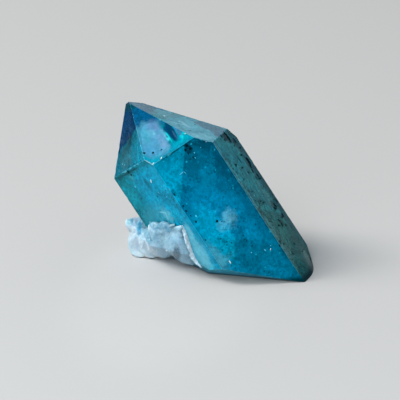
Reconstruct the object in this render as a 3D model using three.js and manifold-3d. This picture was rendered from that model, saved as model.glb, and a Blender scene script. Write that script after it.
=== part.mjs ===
// A single blue quartz point, six-sided and clear, leaning out of a foot of milky druse.
// Millimetres, +Z up. The origin is the middle of the footprint box, on the surface it stands on.
import * as THREE from 'three';
import { ConvexGeometry } from 'three/addons/geometries/ConvexGeometry.js';
import { mergeVertices } from 'three/addons/utils/BufferGeometryUtils.js';
import Module from 'manifold-3d';

// The stance of the point. Its long axis leans away from upright, and the direction it leans in is
// counted from +X towards +Y. The heart is the place on the axis that every face is measured from.
const LEAN = 35.9;
const LEAN_TOWARDS = 159.7;
const HEART_HEIGHT = 12.45;

// A face looks in the direction `turn` about the long axis, where 0 is the side nearest the surface,
// stands at the angle `tilt` from the axis, and lies `distance` from the heart.
const PRISM_TURN = 6;
const PRISM_TILT = 90;
const PRISM_DISTANCES = [11.1, 10.75, 11.15, 10.85, 10.95, 10.9];
const PYRAMID_FACES = [
  { turn: 5.8, tilt: 51.4, distance: 16.8 },
  { turn: 66, tilt: 51.8, distance: 16.7 },
  { turn: 126, tilt: 51.8, distance: 16.0 },
  { turn: 186, tilt: 51.8, distance: 14.05 },
  { turn: 243.3, tilt: 56.7, distance: 13.0 },
  { turn: 306, tilt: 51.8, distance: 15.1 },
];

// Flat breaks: the blunted tip, the undercut along the front of the base, the corner that the druse
// grows over, and the chipped corner at the back of the base.
const BREAKS = [
  { turn: 264.1, tilt: 32.9, distance: 19.4 },
  { turn: 51.9, tilt: 135.8, distance: 15.05 },
  { turn: 42.1, tilt: 109, distance: 11.9 },
  { turn: 202.4, tilt: 105.5, distance: 17.0 },
];

// The druse is one body of rounded lumps that run into each other, placed from the spot on the surface
// below the heart. It is shaped by feeling inwards from all around its middle.
const DRUSE_MIDDLE = [-8.6, -1.6, 4.2];
const DRUSE_LUMPS = [
  { place: [-13.0, 0.8, 2.6], radii: [2.8, 3.0, 2.8] },
  { place: [-14.7, 0.8, 6.1], radii: [1.1, 1.3, 1.2] },
  { place: [-12.7, 0.9, 5.9], radii: [2.0, 2.2, 1.8] },
  { place: [-10.2, -1.8, 3.6], radii: [2.6, 2.6, 2.8] },
  { place: [-7.8, -4.4, 5.6], radii: [3.2, 3.2, 3.6] },
  { place: [-8.6, -5.6, 8.4], radii: [1.8, 1.7, 1.6] },
  { place: [-6.4, -7.4, 9.4], radii: [1.8, 1.6, 1.6] },
  { place: [-4.5, -7.2, 6.6], radii: [2.8, 3.4, 3.4] },
  { place: [-4.1, -9.5, 10.4], radii: [1.2, 1.6, 1.5] },
  { place: [-3.1, -7.8, 4.6], radii: [2.0, 2.8, 2.6] },
  { place: [-1.9, -8.6, 3.2], radii: [0.9, 1.6, 1.2] },
  { place: [-6.0, 0.4, 2.4], radii: [3.2, 3.0, 3.0] },
  { place: [-9.4, 3.4, 3.0], radii: [3.4, 3.4, 3.4] },
  { place: [-6.0, 5.0, 3.2], radii: [2.8, 3.0, 3.4] },
];
const DRUSE_DETAIL = 12;
const DRUSE_REACH = 14;
const DRUSE_BLEND = 0.35;
const FEELING_STEP = 0.05;

// The druse keeps this far from the faces that it grew against.
const SEAT_GAP = 0.3;
// Larger than the whole piece, for the block that trims the druse flat underneath.
const BEYOND = 100;

const POINT_COLOUR = 0x1487ab;
const DRUSE_COLOUR = 0xc9dfe8;

const rad = THREE.MathUtils.degToRad;
const wasm = await Module();
wasm.setup();

const lean = new THREE.Quaternion().setFromEuler(
  new THREE.Euler(0, rad(LEAN), rad(LEAN_TOWARDS), 'ZYX'),
);

function lookDirection({ turn, tilt }) {
  return new THREE.Vector3().setFromSphericalCoords(1, rad(tilt), rad(turn));
}

// Face directions in the point's own frame, in which +Z is the long axis.
function pointFaces() {
  const prism = PRISM_DISTANCES.map((distance, side) => ({
    turn: PRISM_TURN + 60 * side,
    tilt: PRISM_TILT,
    distance,
  }));
  return [...prism, ...PYRAMID_FACES, ...BREAKS].map((face) => {
    const { x, y, z } = lookDirection(face);
    return { normal: new THREE.Vector3(z, x, y), distance: face.distance };
  });
}

function surfaceCut(distance) {
  const normal = new THREE.Vector3(0, 0, -1).applyQuaternion(lean.clone().invert());
  return { normal, distance };
}

// The corners where three faces meet and no other face cuts the meeting point away.
function cornersOf(faces) {
  const slack = 1e-6;
  const corners = new Map();
  for (const [i, a] of faces.entries()) {
    for (const [j, b] of faces.entries()) {
      for (const [k, c] of faces.entries()) {
        if (i >= j || j >= k) continue;
        const normals = new THREE.Matrix3().set(
          ...a.normal.toArray(),
          ...b.normal.toArray(),
          ...c.normal.toArray(),
        );
        if (Math.abs(normals.determinant()) < slack) continue;
        const corner = new THREE.Vector3(a.distance, b.distance, c.distance);
        corner.applyMatrix3(normals.invert());
        if (faces.some((face) => face.normal.dot(corner) > face.distance + slack)) continue;
        corners.set(corner.toArray().map((value) => value.toFixed(3)).join(), corner);
      }
    }
  }
  return [...corners.values()];
}

function withoutSeams(geometry) {
  const plain = geometry.clone();
  plain.deleteAttribute('normal');
  plain.deleteAttribute('uv');
  return mergeVertices(plain, 1e-5);
}

function solidOf(geometry) {
  const shell = withoutSeams(geometry);
  return new wasm.Manifold(new wasm.Mesh({
    numProp: 3,
    vertProperties: Float32Array.from(shell.attributes.position.array),
    triVerts: Uint32Array.from(shell.index.array),
  }));
}

function geometryOf(solid) {
  const { vertProperties, triVerts } = solid.getMesh();
  const geometry = new THREE.BufferGeometry();
  geometry.setAttribute('position', new THREE.BufferAttribute(vertProperties, 3));
  geometry.setIndex(new THREE.BufferAttribute(triVerts, 1));
  geometry.computeVertexNormals();
  return geometry;
}

function quartzPoint() {
  const faces = [...pointFaces(), surfaceCut(HEART_HEIGHT)];
  const geometry = withoutSeams(new ConvexGeometry(cornersOf(faces)));
  geometry.computeVertexNormals();
  const material = new THREE.MeshStandardMaterial({
    color: POINT_COLOUR,
    roughness: 0.12,
    metalness: 0,
    flatShading: true,
  });
  const mesh = new THREE.Mesh(geometry, material);
  mesh.name = 'quartz_point';
  mesh.quaternion.copy(lean);
  mesh.position.z = HEART_HEIGHT;
  return mesh;
}

// The room that the point takes in the druse: its own faces, each moved out by the gap, and run on
// below the surface.
function seatCutter() {
  const faces = pointFaces().map(({ normal, distance }) => ({
    normal,
    distance: distance + SEAT_GAP,
  }));
  faces.push(surfaceCut(HEART_HEIGHT + SEAT_GAP));
  const cutter = new ConvexGeometry(cornersOf(faces));
  cutter.applyQuaternion(lean);
  cutter.translate(0, 0, HEART_HEIGHT);
  return solidOf(cutter);
}

// Below zero inside the lumps: the nearest lump counts most, and neighbours flow together.
function druseField(point) {
  const pull = DRUSE_LUMPS.reduce((sum, { place, radii }) => {
    const [x, y, z] = place.map((centre, axis) => (point.getComponent(axis) - centre) / radii[axis]);
    const distance = (Math.hypot(x, y, z) - 1) * Math.min(...radii);
    return sum + Math.exp(-distance / DRUSE_BLEND);
  }, 0);
  return -DRUSE_BLEND * Math.log(pull);
}

function druseBody() {
  const ball = withoutSeams(new THREE.IcosahedronGeometry(1, DRUSE_DETAIL));
  const middle = new THREE.Vector3(...DRUSE_MIDDLE);
  const outward = new THREE.Vector3();
  const corner = new THREE.Vector3();
  const { position } = ball.attributes;
  for (let i = 0; i < position.count; i += 1) {
    outward.fromBufferAttribute(position, i).normalize();
    let reach = DRUSE_REACH;
    do {
      reach -= FEELING_STEP;
      corner.copy(middle).addScaledVector(outward, reach);
    } while (druseField(corner) > 0);
    position.setXYZ(i, ...corner.toArray());
  }
  return solidOf(ball);
}

function milkyDruse() {
  const aboveSurface = new THREE.BoxGeometry(BEYOND, BEYOND, BEYOND).translate(0, 0, BEYOND / 2);
  const solid = druseBody().intersect(solidOf(aboveSurface)).subtract(seatCutter());
  const material = new THREE.MeshStandardMaterial({
    color: DRUSE_COLOUR,
    roughness: 0.6,
    metalness: 0,
    flatShading: true,
  });
  const mesh = new THREE.Mesh(geometryOf(solid), material);
  mesh.name = 'milky_druse';
  return mesh;
}

const group = new THREE.Group();
group.add(quartzPoint(), milkyDruse());
const footprint = new THREE.Box3().setFromObject(group, true).getCenter(new THREE.Vector3());
group.position.set(-footprint.x, -footprint.y, 0);

export default group;
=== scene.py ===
"""A blue coated quartz point on its foot of milky druse: the finish of the piece, in metres."""

import math
import random

import bmesh
import bpy
from mathutils import Matrix, Vector, noise


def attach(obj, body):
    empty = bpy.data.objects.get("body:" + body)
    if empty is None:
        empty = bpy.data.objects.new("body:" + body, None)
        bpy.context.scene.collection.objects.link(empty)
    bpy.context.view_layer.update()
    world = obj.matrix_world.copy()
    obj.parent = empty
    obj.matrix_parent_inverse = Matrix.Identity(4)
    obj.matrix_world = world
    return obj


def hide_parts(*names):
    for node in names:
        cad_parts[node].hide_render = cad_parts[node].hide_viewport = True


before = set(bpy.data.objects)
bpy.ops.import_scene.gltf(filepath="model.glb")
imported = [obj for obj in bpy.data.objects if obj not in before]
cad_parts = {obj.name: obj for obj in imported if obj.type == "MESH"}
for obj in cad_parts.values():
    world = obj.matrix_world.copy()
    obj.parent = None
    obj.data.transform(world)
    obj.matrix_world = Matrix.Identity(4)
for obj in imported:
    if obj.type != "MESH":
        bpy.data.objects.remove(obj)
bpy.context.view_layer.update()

MM = 0.001

# The stance of the point, as in the part's source: its long axis leans, and the heart is on the axis.
LEAN = math.radians(35.9)
LEAN_TOWARDS = math.radians(159.7)
HEART = Vector((-2.24, 0.56, 12.45)) * MM
STANCE = Matrix.Rotation(LEAN_TOWARDS, 3, "Z") @ Matrix.Rotation(LEAN, 3, "Y")
ALONG = STANCE @ Vector((0, 0, 1))

# The six sides of the prism and of the pyramid, by their turn about the long axis in degrees.
SIDES = {"under": 6, "left": 66, "front": 126, "right": 186, "back": 246, "rear": 306}
# How far the sides of each lean from lying flat.
TILTS = {"prism": 90, "pyramid": 51.8}


# ---------------------------------------------------------------- camera, stage and light

# Where the camera and the lamps stand: azimuth and elevation in degrees, and the distance in metres
# from the spot that they look at, which is in mm.
CAMERA_STAND = (0.53, 20.3, 0.300)
CAMERA_AIM = (-2.81, 0.39, 12.2)
WINDOW_STAND = (-90, 42, 2.4)
REFLECTOR_STAND = (-25, 35, 0.45)
LAMP_AIM = (0, 0, 10)
CARD_STAND = (-10, 27, 0.30)
CARD_AIM = (-6.0, -7.2, 0.0)
CARD_WATTS = 11
CARD_BEAM = 2.8
FOCAL_LENGTH = 135
SENSOR_WIDTH = 36
# The sky grows brighter with its direction's Y and Z: from, to, then the strength at each.
SKY_BEHIND = (0.72, 0.95, 0.10, 0.50)
SKY_ABOVE = (0.10, 0.75, 0.10, 0.62)
FLOOR_REACH = 1.5


def put(name, data):
    """A new object in the scene."""
    thing = bpy.data.objects.new(name, data)
    bpy.context.scene.collection.objects.link(thing)
    return thing


def place_looking(data, stand, aim):
    """Puts a camera or lamp at its stand, looking at the aim."""
    turn, rise = (math.radians(angle) for angle in stand[:2])
    back = Vector((math.sin(turn) * math.cos(rise), -math.cos(turn) * math.cos(rise), math.sin(rise)))
    thing = put(data.name, data)
    thing.location = Vector(aim) * MM + back * stand[2]
    thing.rotation_mode = "QUATERNION"
    thing.rotation_quaternion = back.to_track_quat("Z", "Y")
    return thing


def make_camera():
    lens = bpy.data.cameras.new("camera")
    lens.lens = FOCAL_LENGTH
    lens.sensor_width = SENSOR_WIDTH
    lens.clip_start = 10 * MM
    bpy.context.scene.camera = place_looking(lens, CAMERA_STAND, CAMERA_AIM)


def soft_lamp(name, stand, size, watts, colour):
    lamp = bpy.data.lights.new(name, "AREA")
    lamp.shape = "SQUARE"
    lamp.size = size
    lamp.energy = watts
    lamp.color = colour
    place_looking(lamp, stand, LAMP_AIM)


def bounce_card():
    """A small card in front throws a little light under the overhanging left side."""
    card = bpy.data.lights.new("bounce_card", "SPOT")
    card.spot_size = math.radians(CARD_BEAM)
    card.spot_blend = 1.0
    card.shadow_soft_size = 20 * MM
    card.energy = CARD_WATTS
    card.color = (0.84, 0.95, 1.0)
    place_looking(card, CARD_STAND, CARD_AIM)


def make_room():
    """A soft sky, brightest above and behind, with a large lamp at the left and a reflector in front."""
    bpy.context.scene.view_settings.view_transform = "Standard"
    world = bpy.data.worlds.new("room")
    bpy.context.scene.world = world
    world.use_nodes = True
    bench = Bench(world.node_tree)
    direction = bench.add("ShaderNodeTexCoord").outputs["Generated"]
    parts = bench.add("ShaderNodeSeparateXYZ", {0: direction}).outputs
    behind = bench.ramp(parts["Y"], *SKY_BEHIND)
    above = bench.ramp(parts["Z"], *SKY_ABOVE)
    surround = world.node_tree.nodes["Background"]
    bench.fill(surround, {"Color": (0.93, 0.97, 1.0), "Strength": bench.math("MAXIMUM", behind, above)})
    soft_lamp("window", WINDOW_STAND, size=1.0, watts=67.0, colour=(1.0, 0.985, 0.96))
    soft_lamp("reflector", REFLECTOR_STAND, size=0.26, watts=1.05, colour=(0.80, 0.94, 1.0))
    bounce_card()


def make_floor():
    mesh = bpy.data.meshes.new("floor")
    corners = [Vector((x, y, 0)) * FLOOR_REACH for x, y in ((-1, -1), (1, -1), (1, 1), (-1, 1))]
    mesh.from_pydata(corners, [], [(0, 1, 2, 3)])
    mesh.materials.append(plain_finish("pale_floor", {"Base Color": (0.435, 0.43, 0.43), "Roughness": 0.75}))
    floor = put("floor", mesh)


# ---------------------------------------------------------------- node helpers

NUMBER = "NodeSocketFloat"
VECTOR = "NodeSocketVector"
WHOLE = "NodeSocketInt"
SHAPE = "NodeSocketGeometry"
# The share of a dot's reach that is full strength.
DOT_CORE = 0.4


class Bench:
    """A material's or group's node tree, with short ways to add and join nodes."""

    def __init__(self, tree):
        self.tree = tree

    def join(self, source, target):
        self.tree.links.new(source, target)

    def fill(self, node, inputs):
        """Joins a node's inputs to sockets, or sets their plain values; three numbers make a colour."""
        for key, value in inputs.items():
            socket = node.inputs[key]
            if isinstance(value, bpy.types.NodeSocket):
                self.join(value, socket)
            elif socket.type == "RGBA":
                socket.default_value = (*value, 1.0)
            else:
                socket.default_value = value

    def add(self, kind, inputs=None, **settings):
        node = self.tree.nodes.new(kind)
        for key, value in settings.items():
            setattr(node, key, value)
        self.fill(node, inputs or {})
        return node

    def group(self, name, **inputs):
        """One of the shared groups, with its own values."""
        inputs = {key.capitalize(): value for key, value in inputs.items()}
        return self.add("ShaderNodeGroup", inputs, node_tree=GROUPS[name]).outputs

    def patches(self, place, size, detail, low, high, warp=0.0):
        return self.group("patches", place=place, size=size, detail=detail, low=low, high=high, warp=warp)

    def math(self, operation, *values):
        return self.add("ShaderNodeMath", dict(enumerate(values)), operation=operation).outputs[0]

    def vector(self, operation, a, b):
        return self.add("ShaderNodeVectorMath", {0: a, 1: b}, operation=operation).outputs

    def ramp(self, value, low, high, out_low=0.0, out_high=1.0):
        inputs = dict(enumerate((value, low, high, out_low, out_high)))
        return self.add("ShaderNodeMapRange", inputs, interpolation_type="SMOOTHSTEP").outputs["Result"]

    def span(self, mask, least, most):
        """A value that goes from least to most as the mask goes from 0 to 1."""
        return self.ramp(mask, 0.0, 1.0, least, most)

    def mix(self, factor, a, b, blend="MIX"):
        inputs = {"Factor": factor, "A": a, "B": b}
        return self.add("ShaderNodeMix", inputs, data_type="RGBA", blend_type=blend).outputs["Result"]

    def lay(self, mask, share, colour, tint):
        """The tint with a colour laid over it where the mask is, as far as the share says."""
        return self.mix(self.math("MULTIPLY", mask, share), tint, colour)

    def relief(self, height, strength):
        inputs = {"Strength": strength, "Distance": 0.05 * MM, "Height": height}
        return self.add("ShaderNodeBump", inputs).outputs["Normal"]


def new_finish(name, inputs):
    """A new material and its shader, with the shader's plain values set."""
    finish = bpy.data.materials.new(name)
    finish.use_nodes = True
    shader = finish.node_tree.nodes["Principled BSDF"]
    Bench(finish.node_tree).fill(shader, inputs)
    return finish, shader


def plain_finish(name, inputs):
    return new_finish(name, inputs)[0]


def new_group(name, inputs, outputs, kind="ShaderNodeTree"):
    """An empty group: each input by its name, with its default number or its kind of socket."""
    tree = bpy.data.node_groups.new(name, kind)
    for label, given in inputs.items():
        if isinstance(given, str):
            tree.interface.new_socket(label, in_out="INPUT", socket_type=given)
        else:
            tree.interface.new_socket(label, in_out="INPUT", socket_type=NUMBER).default_value = given
    for label, socket_kind in outputs.items():
        tree.interface.new_socket(label, in_out="OUTPUT", socket_type=socket_kind)
    bench = Bench(tree)
    return bench, bench.add("NodeGroupInput").outputs, bench.add("NodeGroupOutput")


def make_patches_group():
    """Cloudy patches of a given size: a mask that rises from Low to High of the noise."""
    inputs = {"Place": VECTOR, "Size": 0.002, "Detail": 3.0, "Warp": 0.0, "Low": 0.4, "High": 0.6}
    bench, given, result = new_group("patches", inputs, {"Mask": NUMBER, "Noise": NUMBER})
    cloud = bench.add("ShaderNodeTexNoise", {
        "Vector": given["Place"],
        "Scale": bench.math("DIVIDE", 1.0, given["Size"]),
        "Detail": given["Detail"],
        "Roughness": 0.66,
        "Distortion": given["Warp"],
    }).outputs["Fac"]
    bench.fill(result, {"Noise": cloud, "Mask": bench.ramp(cloud, given["Low"], given["High"])})
    return bench.tree


def make_zone_group():
    """A soft-edged half space: 1 on the side of Origin that Direction looks to."""
    inputs = {
        "Place": VECTOR, "Wander": 0.0, "Origin": VECTOR, "Direction": VECTOR,
        "Softness": 0.001, "Waver": 0.0,
    }
    bench, given, result = new_group("zone", inputs, {"Mask": NUMBER})
    offset = bench.vector("SUBTRACT", given["Place"], given["Origin"])["Vector"]
    reach = bench.vector("DOT_PRODUCT", offset, given["Direction"])["Value"]
    moved = bench.math("MULTIPLY_ADD", given["Wander"], given["Waver"], reach)
    back = bench.math("MULTIPLY", given["Softness"], -1.0)
    bench.fill(result, {"Mask": bench.ramp(moved, back, given["Softness"])})
    return bench.tree


def make_oval_group():
    """A soft-edged oval round Origin: Across and Up are its two axes, each divided by its half size."""
    inputs = {
        "Place": VECTOR, "Wander": 0.0, "Origin": VECTOR, "Across": VECTOR, "Up": VECTOR,
        "Softness": 0.2, "Waver": 0.0,
    }
    bench, given, result = new_group("oval", inputs, {"Mask": NUMBER})
    offset = bench.vector("SUBTRACT", given["Place"], given["Origin"])["Vector"]
    squares = []
    for label in ("Across", "Up"):
        part = bench.vector("DOT_PRODUCT", offset, given[label])["Value"]
        squares.append(bench.math("MULTIPLY", part, part))
    gap = bench.math("SQRT", bench.math("ADD", *squares))
    moved = bench.math("MULTIPLY_ADD", given["Wander"], given["Waver"], gap)
    inner = bench.math("SUBTRACT", 1.0, given["Softness"])
    outer = bench.math("ADD", 1.0, given["Softness"])
    bench.fill(result, {"Mask": bench.ramp(moved, inner, outer, 1.0, 0.0)})
    return bench.tree


def make_dots_group():
    """Round dots strewn through a material: Share of the cells hold one."""
    inputs = {"Place": VECTOR, "Spacing": 0.001, "Reach": 0.3, "Share": 0.5}
    bench, given, result = new_group("dots", inputs, {"Mask": NUMBER})
    scale = bench.math("DIVIDE", 1.0, given["Spacing"])
    cells = bench.add("ShaderNodeTexVoronoi", {"Vector": given["Place"], "Scale": scale}).outputs
    inner = bench.math("MULTIPLY", given["Reach"], DOT_CORE)
    dot = bench.ramp(cells["Distance"], inner, given["Reach"], 1.0, 0.0)
    luck = bench.add("ShaderNodeSeparateColor", {"Color": cells["Color"]}).outputs["Red"]
    held = bench.math("LESS_THAN", luck, given["Share"])
    bench.fill(result, {"Mask": bench.math("MULTIPLY", dot, held)})
    return bench.tree


GROUPS = {
    "patches": make_patches_group(),
    "zone": make_zone_group(),
    "oval": make_oval_group(),
    "dots": make_dots_group(),
}


# ---------------------------------------------------------------- faces of the point

def face_direction(turn, tilt):
    turn, tilt = math.radians(turn), math.radians(tilt)
    own = Vector((math.sin(tilt) * math.cos(turn), math.sin(tilt) * math.sin(turn), math.cos(tilt)))
    return STANCE @ own


LOOKS = {
    (part, side): face_direction(turn, tilt) for part, tilt in TILTS.items() for side, turn in SIDES.items()}
FACE_NUMBERS = {kind: number for number, kind in enumerate(LOOKS, 1)}
LEFT = ("prism", "left")
FRONT = ("prism", "front")
RIGHT = ("prism", "right")
TIP_LEFT = ("pyramid", "left")
TIP_FRONT = ("pyramid", "front")
TIP_RIGHT = ("pyramid", "right")
BREAK = ("break", "")
# A flat that looks further than this from every crystal face, in degrees, is a break.
FACE_TOLERANCE = 7
MERGE_DISTANCE = 0.002 * MM


def name_face(normal):
    """The crystal face that looks that way, or a break where none does."""
    best = max(LOOKS, key=lambda key: LOOKS[key].dot(normal))
    return best if LOOKS[best].dot(normal) > math.cos(math.radians(FACE_TOLERANCE)) else BREAK


def merged_copy(node):
    """A bmesh of a CAD node with its loose triangles joined into flat faces."""
    solid = as_solid(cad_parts[node].data)
    bmesh.ops.remove_doubles(solid, verts=solid.verts, dist=MERGE_DISTANCE)
    bmesh.ops.dissolve_limit(solid, angle_limit=math.radians(0.5), verts=solid.verts, edges=solid.edges)
    solid.normal_update()
    return solid


def as_solid(mesh):
    solid = bmesh.new()
    solid.from_mesh(mesh)
    return solid


def as_mesh(name, solid):
    """The mesh of a bmesh, which is let go."""
    mesh = bpy.data.meshes.new(name)
    solid.to_mesh(mesh)
    solid.free()
    return mesh


def read_hull():
    """Every flat face of the point: its name, the way it looks, and its distance from the heart."""
    solid = merged_copy("quartz_point")
    hull = []
    for face in solid.faces:
        hull.append((name_face(face.normal), face.normal.copy(), face.normal.dot(face.verts[0].co - HEART)))
    solid.free()
    return hull


HULL = read_hull()
FACES = {kind: (normal, distance) for kind, normal, distance in HULL}


def face_axes(kind, turn=0):
    """Right and up on a face, turned by an angle in degrees, and the way the face looks."""
    normal, _ = FACES[kind]
    right = ALONG.cross(normal).normalized()
    rise = normal.cross(right)
    if turn:
        cos, sin = math.cos(math.radians(turn)), math.sin(math.radians(turn))
        right, rise = right * cos + rise * sin, rise * cos - right * sin
    return right, rise, normal


def on_face(kind, across, up, depth):
    """A spot under a face, in mm: across to the right and up along the point, from above the heart."""
    right, rise, normal = face_axes(kind)
    return HEART + normal * (FACES[kind][1] - depth * MM) + (right * across + rise * up) * MM


def trim_off(solid, spot, outward):
    """Cuts a shape flat at a spot, and closes it there."""
    cut = bmesh.ops.bisect_plane(
        solid, geom=solid.verts[:] + solid.edges[:] + solid.faces[:], dist=1e-7,
        plane_co=spot, plane_no=outward, clear_outer=True,
    )
    rim = [item for item in cut["geom_cut"] if isinstance(item, bmesh.types.BMEdge)]
    if rim:
        bmesh.ops.holes_fill(solid, edges=rim)


def clip_to_hull(solid, depth):
    """Trims a shape to the inside of the point, `depth` millimetres below its faces."""
    for _, normal, distance in HULL:
        trim_off(solid, HEART + normal * (distance - depth * MM), normal)


# ---------------------------------------------------------------- finishes

# Where the coat changes within each face, in mm across and up it. A zone lies on one side of a spot,
# the way it looks: its softness and waver are in mm. Then its tint and how much of it there is.
COAT_ZONES = {
    FRONT: [
        ((2.6, -5.4), (0.776, -0.631), 0.2, 0.6, (0, 0.3, 0.54), 0.85),
        ((0.5, 4.5), (0.4, 0.9), 2.8, 3.5, (0, 0.17, 0.285), 0.85),
        ((4.6, 0), (1, 0.1), 1.4, 2, (0, 0.165, 0.29), 0.8),
        ((-1.9, 7.4), (-0.78, 0.62), 0.2, 0.5, (0, 0.48, 0.73), 0.9),
    ],
    ("prism", "rear"): [
        ((0, -9), (0.2, -1), 2, 5, (0.2, 0.62, 0.8), 0.6),
        ((3, 0), (1, 0.3), 2, 4, (0, 0.3, 0.56), 0.7),
    ],
    ("prism", "under"): [((0, -4), (0, -1), 2, 5, (0.16, 0.6, 0.76), 0.6)],
    ("prism", "back"): [
        ((-1, -2), (-0.5, -0.8), 3, 5, (0, 0.26, 0.44), 0.7),
        ((0, 9), (0.2, 1), 2, 4, (0, 0.46, 0.62), 0.6),
    ],
    LEFT: [
        ((-2.2, 6), (-1, 0.1), 2.4, 3, (0, 0.33, 0.4), 0.88),
        ((0, 12), (0, 1), 0.8, 2.5, (0, 0.26, 0.32), 0.7),
    ],
    RIGHT: [
        ((-5.2, 0), (-1, 0), 0.3, 0.9, (0.12, 0.5, 0.55), 0.85),
        ((3.3, 0), (1, 0.05), 0.7, 2, (0, 0.12, 0.14), 0.85),
        # Painted shade: the low corner of the right face darkens where its heel curves down to the floor.
        ((-1, -17), (0.6, -0.8), 1.2, 2, (0.02, 0.22, 0.24), 0.8),
    ],
    TIP_LEFT: [((2.6, 7), (1, 0), 0.3, 0.6, (0, 0.3, 0.44), 0.8)],
    TIP_RIGHT: [((0, 14.8), (-0.2, 1), 1.2, 1.5, (0.2, 0.33, 0.46), 0.85)],
}
# An oval: the spot and its half sizes across and up, a turn in degrees, a softness and a waver that
# are shares of its size, a tint and how much of it there is.
COAT_OVALS = {
    FRONT: [
        (-3.4, -6.6, 2.8, 6.4, 4, 0.4, 0.9, (0, 0.56, 0.86), 0.75),
        (-6.2, -11.2, 2.6, 1, 0, 0.6, 1.4, (0.1, 0.58, 0.74), 0.6),
        (3, -14.8, 2.4, 1.2, 0, 0.4, 1.6, (0, 0.56, 0.82), 0.6),
        (1.2, 10.4, 1, 1.4, 0, 0.4, 2.5, (0, 0.1, 0.16), 0.9),
        (-5.2, 10.5, 0.6, 1.4, 0, 0.4, 1.6, (0, 0.14, 0.18), 0.8),
        (0.6, -4.9, 1.3, 1.5, 20, 0.7, 3, (0.2, 0.72, 0.96), 0.55),
        (-1.2, -5.4, 0.8, 0.8, 0, 0.7, 3, (0.2, 0.72, 0.96), 0.45),
    ],
    LEFT: [
        (-1.5, 12.4, 0.5, 0.6, 0, 0.4, 1.5, (0, 0.03, 0.05), 0.9),
        (1.6, 9.4, 0.35, 1.6, 0, 0.6, 1.6, (0, 0.2, 0.28), 0.7),
        (-3.4, 9.4, 0.8, 1.4, 20, 0.6, 2, (0, 0.14, 0.18), 0.7),
        (-6.4, 8.6, 0.7, 2.6, 0, 0.6, 1.6, (0, 0.13, 0.17), 0.7),
        (-6.4, 4, 0.6, 3.6, 0, 0.5, 1.6, (0, 0.14, 0.19), 0.75),
        (-5, 5.6, 0.7, 1.3, 20, 0.6, 1.6, (0, 0.15, 0.2), 0.7),
        (-1.8, 11.4, 0.8, 0.8, 0, 0.6, 1.6, (0.08, 0.62, 0.74), 0.7),
    ],
    TIP_LEFT: [
        (-1.6, 6.5, 2.1, 2.6, 0, 0.25, 0.8, (0.02, 0.19, 0.24), 0.9),
        (0.2, 9.6, 0.6, 2.2, -20, 0.5, 1, (0, 0.06, 0.1), 0.8),
    ],
    TIP_RIGHT: [
        (1.7, 3.2, 2.2, 3.2, 0, 0.15, 0.7, (0.13, 0.235, 0.31), 0.95),
        (0.2, 0.9, 2.6, 1.5, 20, 0.15, 0.7, (0.13, 0.235, 0.31), 0.95),
        (-5.6, 3, 1.6, 2.6, 30, 0.5, 1.2, (0.26, 0.64, 0.74), 0.7),
        (-3.9, 12.8, 0.8, 2.2, -10, 0.5, 1, (0.05, 0.38, 0.42), 0.85),
    ],
    RIGHT: [
        (-4.6, -13.5, 1.6, 6.5, 0, 0.7, 1.4, (0.12, 0.42, 0.43), 0.6),
        (1.7, -6, 1.7, 2.6, 0, 0.5, 1, (0.12, 0.4, 0.37), 0.8),
        (-3.6, 3.6, 2.2, 4.6, 0, 0.5, 1, (0.02, 0.42, 0.45), 0.7),
    ],
}
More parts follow.
